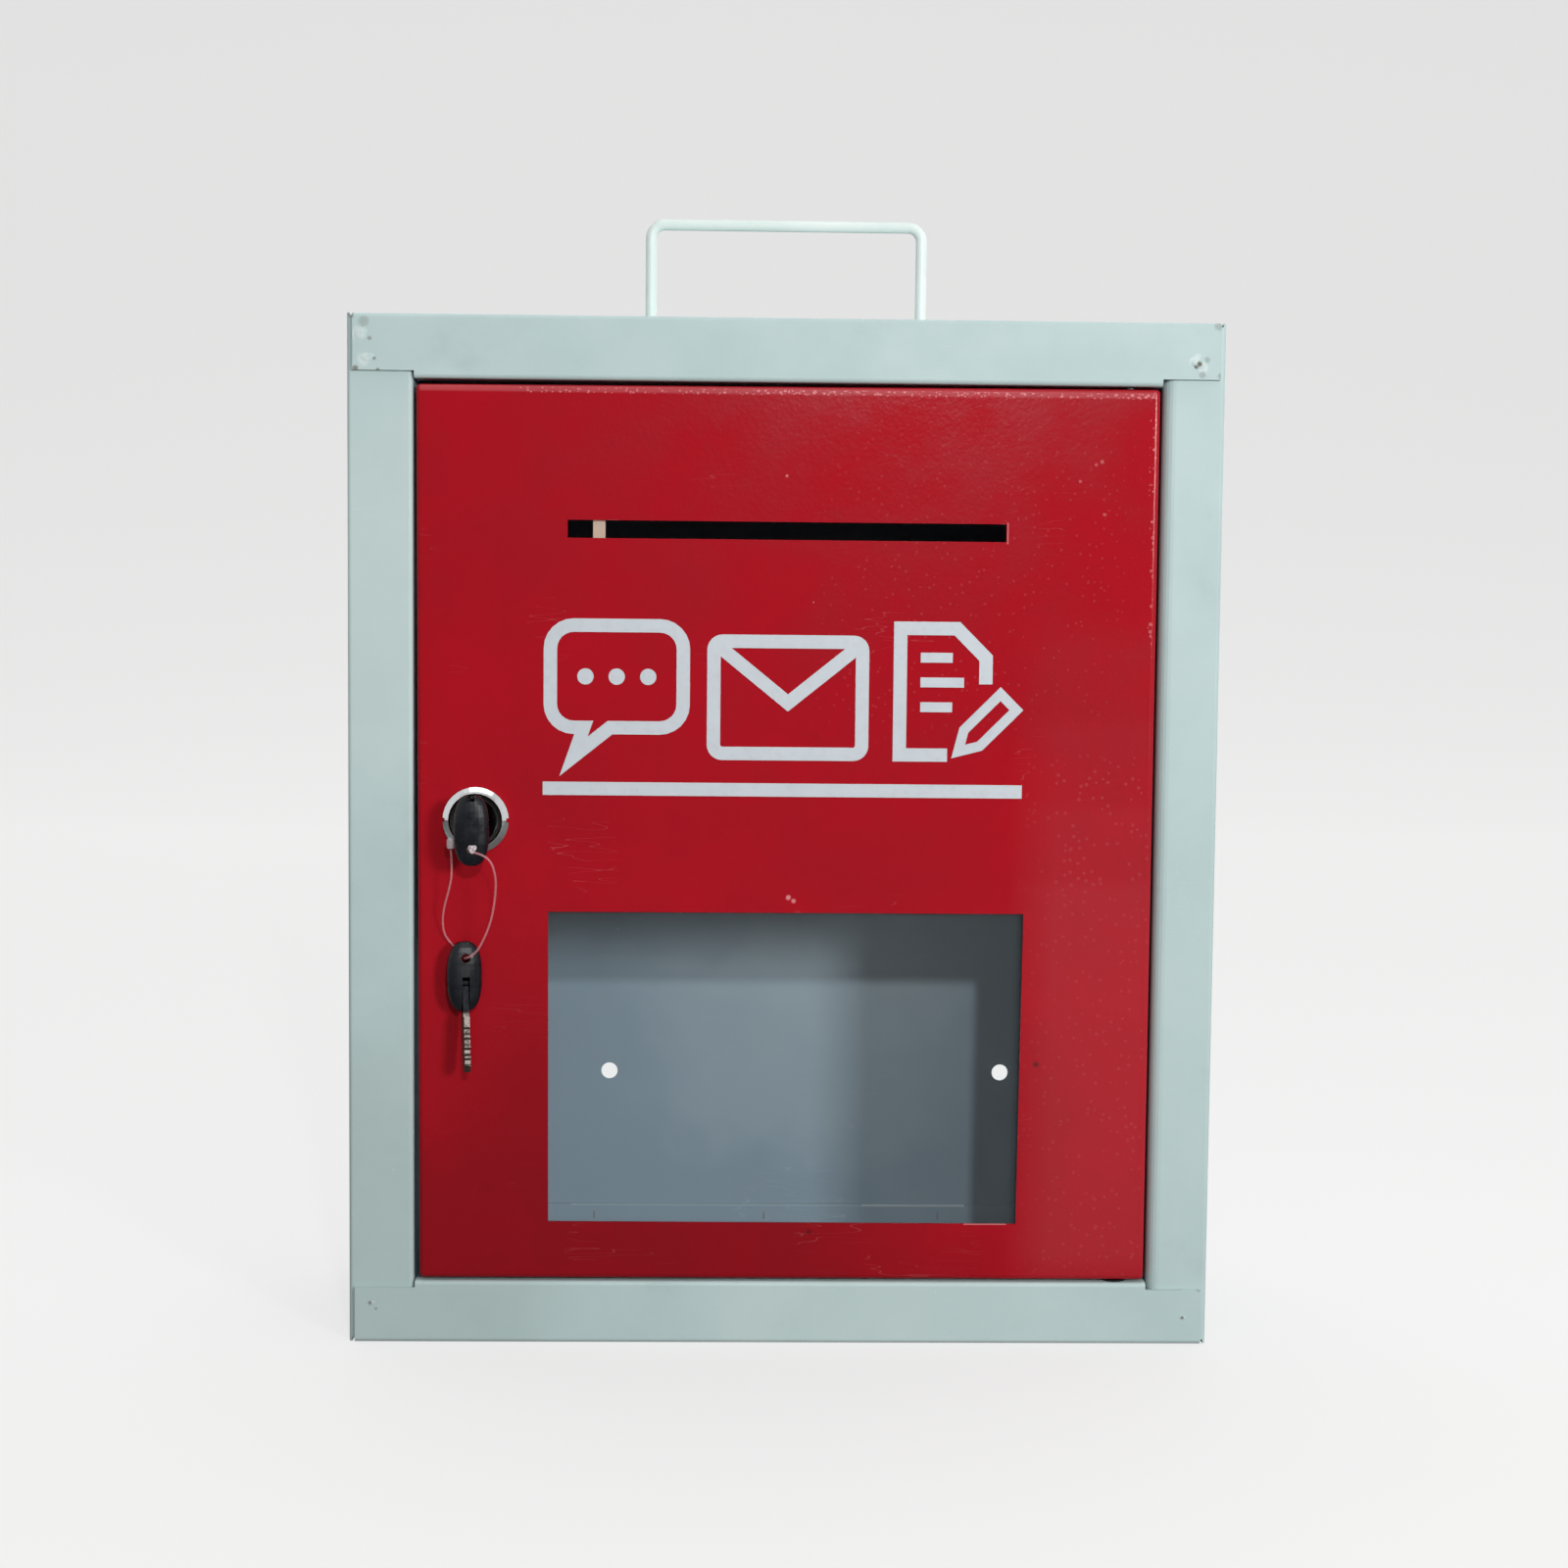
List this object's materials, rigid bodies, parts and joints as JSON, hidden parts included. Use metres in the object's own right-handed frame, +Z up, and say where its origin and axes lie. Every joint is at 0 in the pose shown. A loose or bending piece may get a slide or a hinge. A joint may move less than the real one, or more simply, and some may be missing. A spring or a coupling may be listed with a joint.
{
  "type": "suggestion box",
  "caption": "Wall box of folded steel with a red hinged door, letter slot, window, cam lock with a folding key and a spare on a nylon loop, and a carry handle.",
  "frame": {"origin": "middle of the case's underside", "axes": "+Z up along the case's height, -Y towards the door, +Y towards the wall, +X to the right of someone who faces the door"},
  "size_m": [0.3, 0.1197, 0.3965],
  "materials": {
    "case_paint": "pale aqua-grey powder coat",
    "door_paint": "red powder coat, satin",
    "handle_paint": "near-white powder coat",
    "clear_acrylic": "clear sheet",
    "zinc_steel": "bright zinc plate",
    "chrome": "polished",
    "dark_plug": "dark nickel plate, polished",
    "brass": "rolled",
    "key_plastic": "black, moulded",
    "key_steel": "nickel plate, worn",
    "nylon": "clear nylon, slightly pink",
    "strip_coat": "cream primer, matt"
  },
  "bodies": {
    "case": {"left_side_panel": "case_paint", "right_side_panel": "case_paint", "top_cap": "case_paint", "bottom_cap": "case_paint", "back_panel": "case_paint", "carry_handle": "handle_paint"},
    "door": {"door_panel": "door_paint", "slot_strip": "strip_coat", "window_pane": "clear_acrylic", "pane_channel_left": "door_paint", "pane_channel_right": "door_paint", "pane_channel_bottom": "door_paint", "upper_pivot_pin": "zinc_steel", "lower_pivot_pin": "zinc_steel", "pivot_washer": "zinc_steel", "lock_housing": "chrome", "lock_washer": "zinc_steel", "lock_nut": "zinc_steel"},
    "plug": {"lock_plug": "dark_plug", "lock_wafer_1": "brass", "lock_wafer_2": "brass", "lock_wafer_3": "brass", "lock_wafer_4": "brass", "lock_cam": "zinc_steel", "cam_washer": "zinc_steel", "cam_screw": "zinc_steel"},
    "key": {"key_blade": "key_steel", "key_pin": "key_steel"},
    "folding_head": {"key_head": "key_plastic"},
    "loop": {"tag_cord": "nylon", "tag_head": "nylon"},
    "spare": {"spare_key_head": "key_plastic", "spare_key_pin": "key_steel"},
    "spare_blade": {"spare_key_blade": "key_steel"}
  },
  "joints": [
    {"name": "door_swing", "type": "hinge", "parent": "case", "child": "door", "pos_m": [0.1176, -0.045, 0.0228], "axis": [0, 0, 1], "range_deg": [0, 120]},
    {"name": "lock_turn", "type": "hinge", "parent": "door", "child": "plug", "pos_m": [-0.1058, -0.0317, 0.1829], "axis": [0, 1, 0], "range_deg": [0, 90]},
    {"name": "key_slide", "type": "slide", "parent": "plug", "child": "key", "axis": [0, -1, 0], "range_m": [0, 0.02]},
    {"name": "key_fold", "type": "hinge", "parent": "key", "child": "folding_head", "pos_m": [-0.1058, -0.0642, 0.1829], "axis": [-1, 0, 0], "range_deg": [0, 90]},
    {"name": "tag_sway", "type": "hinge", "parent": "folding_head", "child": "loop", "pos_m": [-0.1058, -0.0642, 0.1739], "axis": [0, 1, 0], "range_deg": [-90, 0]},
    {"name": "spare_sway", "type": "hinge", "parent": "loop", "child": "spare", "pos_m": [-0.1091, -0.0554, 0.1361], "axis": [0, 1, 0], "range_deg": [-35, 35]},
    {"name": "spare_fold", "type": "hinge", "parent": "spare", "child": "spare_blade", "pos_m": [-0.1091, -0.0554, 0.1271], "axis": [-0.9613, -0.2756, 0], "range_deg": [-10, 80]}
  ],
  "couplings": [
    {"joint": "tag_sway", "follows": "lock_turn", "ratio": -1}
  ]
}
